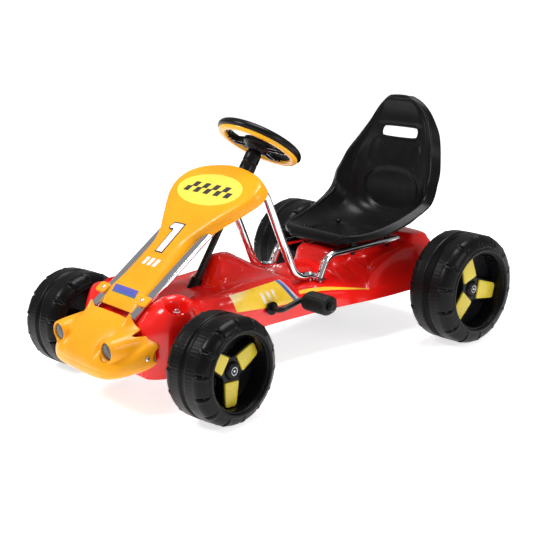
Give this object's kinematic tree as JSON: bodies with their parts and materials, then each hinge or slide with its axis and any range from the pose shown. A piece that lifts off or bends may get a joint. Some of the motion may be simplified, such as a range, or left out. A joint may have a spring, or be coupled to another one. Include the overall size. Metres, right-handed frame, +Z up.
{
  "type": "pedal go kart",
  "caption": "Child's pedal go kart with a moulded body, a bucket seat, linked front steering and a crank that drives the rear axle by chain.",
  "frame": {"origin": "middle of the footprint, on the floor under the tyres", "axes": "+Z up, the nose points to -Y, +X is the kart's own left"},
  "size_m": [0.635, 0.9409, 0.5145],
  "materials": {
    "body_red": "gloss",
    "bumper_yellow": "satin",
    "lens_grey": "gloss",
    "seat_black": "satin",
    "pan_black": "matt",
    "tube_chrome": "polished",
    "zinc_steel": "plated",
    "black_steel": "satin",
    "frame_steel": "satin",
    "nylon_white": "matt",
    "grip_black": "matt",
    "ring_yellow": "satin",
    "hub_black": "satin",
    "wheel_black": "satin",
    "strip_rubber": "matt",
    "insert_yellow": "satin",
    "pedal_black": "matt"
  },
  "bodies": {
    "chassis": {"body_shell": "body_red", "underbody_pan": "pan_black", "nose_bumper": "bumper_yellow", "headlight_lenses": "lens_grey", "nose_screws": "zinc_steel", "dash_cowl": "bumper_yellow", "frame_tube_left": "tube_chrome", "frame_tube_right": "tube_chrome", "seat_rail_left": "tube_chrome", "seat_rail_right": "tube_chrome", "frame_screws": "zinc_steel", "seat_shell": "seat_black", "seat_bolts": "zinc_steel", "seat_spacers": "pan_black", "column_bracket": "frame_steel", "column_upper_bush": "nylon_white", "column_collar": "hub_black", "front_beam": "frame_steel", "kingpin_strap": "frame_steel", "kingpins": "zinc_steel", "crank_bushes": "nylon_white", "rear_axle_bushes": "nylon_white", "chain": "zinc_steel"},
    "steering": {"steering_column": "black_steel", "column_sleeve": "hub_black", "steering_hub": "hub_black", "steering_rim": "grip_black", "steering_ring": "ring_yellow", "steering_cap": "hub_black"},
    "left_knuckle": {"knuckle_left": "frame_steel", "front_nut_left": "zinc_steel"},
    "right_knuckle": {"knuckle_right": "frame_steel", "front_nut_right": "zinc_steel"},
    "track_rod": {"tie_rod": "frame_steel"},
    "front_left_wheel": {"front_left_tyre": "wheel_black", "front_left_rim": "wheel_black", "front_left_inserts": "insert_yellow", "front_left_cap": "wheel_black"},
    "front_right_wheel": {"front_right_tyre": "wheel_black", "front_right_rim": "wheel_black", "front_right_inserts": "insert_yellow", "front_right_cap": "wheel_black"},
    "rear_wheels": {"rear_axle": "zinc_steel", "rear_axle_fittings": "zinc_steel", "rear_sprocket": "zinc_steel", "rear_left_tyre": "wheel_black", "rear_left_strip": "strip_rubber", "rear_left_rim": "wheel_black", "rear_left_inserts": "insert_yellow", "rear_left_cap": "wheel_black", "rear_right_tyre": "wheel_black", "rear_right_strip": "strip_rubber", "rear_right_rim": "wheel_black", "rear_right_inserts": "insert_yellow", "rear_right_cap": "wheel_black"},
    "crank": {"crank_shaft": "black_steel", "crank_sprocket": "zinc_steel", "pedal_caps": "pedal_black"},
    "left_pedal": {"pedal_left": "pedal_black"},
    "right_pedal": {"pedal_right": "pedal_black"}
  },
  "joints": [
    {"name": "steering_turn", "type": "hinge", "parent": "chassis", "child": "steering", "pos_m": [0, -0.18, 0.189], "axis": [0, 0.5736, 0.8192], "range_deg": [-40.8, 19.1]},
    {"name": "left_knuckle_turn", "type": "hinge", "parent": "chassis", "child": "left_knuckle", "pos_m": [0.117, -0.311, 0.1024], "axis": [0, 0, 1], "range_deg": [-24.5, 11.5]},
    {"name": "right_knuckle_turn", "type": "hinge", "parent": "chassis", "child": "right_knuckle", "pos_m": [-0.117, -0.311, 0.1024], "axis": [0, 0, 1], "range_deg": [-24.5, 11.5]},
    {"name": "track_rod_turn", "type": "hinge", "parent": "left_knuckle", "child": "track_rod", "pos_m": [0.11134, -0.26132, 0.0825], "axis": [0, 0, 1], "range_deg": [-11.5, 24.5]},
    {"name": "front_left_spin", "type": "hinge", "parent": "left_knuckle", "child": "front_left_wheel", "pos_m": [0.22927, -0.29821, 0.1024], "axis": [0.9936, 0.1132, 0], "continuous": true},
    {"name": "front_right_spin", "type": "hinge", "parent": "right_knuckle", "child": "front_right_wheel", "pos_m": [-0.22927, -0.32379, 0.1024], "axis": [0.9936, 0.1132, 0], "continuous": true},
    {"name": "rear_axle_spin", "type": "hinge", "parent": "chassis", "child": "rear_wheels", "pos_m": [0, 0.35, 0.12], "axis": [1, 0, 0], "continuous": true},
    {"name": "crank_spin", "type": "hinge", "parent": "chassis", "child": "crank", "pos_m": [0, -0.072, 0.137], "axis": [1, 0, 0], "continuous": true},
    {"name": "left_pedal_spin", "type": "hinge", "parent": "crank", "child": "left_pedal", "pos_m": [0.186, -0.00799, 0.14829], "axis": [1, 0, 0], "continuous": true},
    {"name": "right_pedal_spin", "type": "hinge", "parent": "crank", "child": "right_pedal", "pos_m": [-0.186, -0.13601, 0.12571], "axis": [1, 0, 0], "continuous": true}
  ],
  "couplings": [
    {"joint": "left_knuckle_turn", "follows": "steering_turn", "ratio": 0.6},
    {"joint": "right_knuckle_turn", "follows": "steering_turn", "ratio": 0.6},
    {"joint": "track_rod_turn", "follows": "steering_turn", "ratio": -0.6},
    {"joint": "crank_spin", "follows": "rear_axle_spin", "ratio": 0.75}
  ]
}
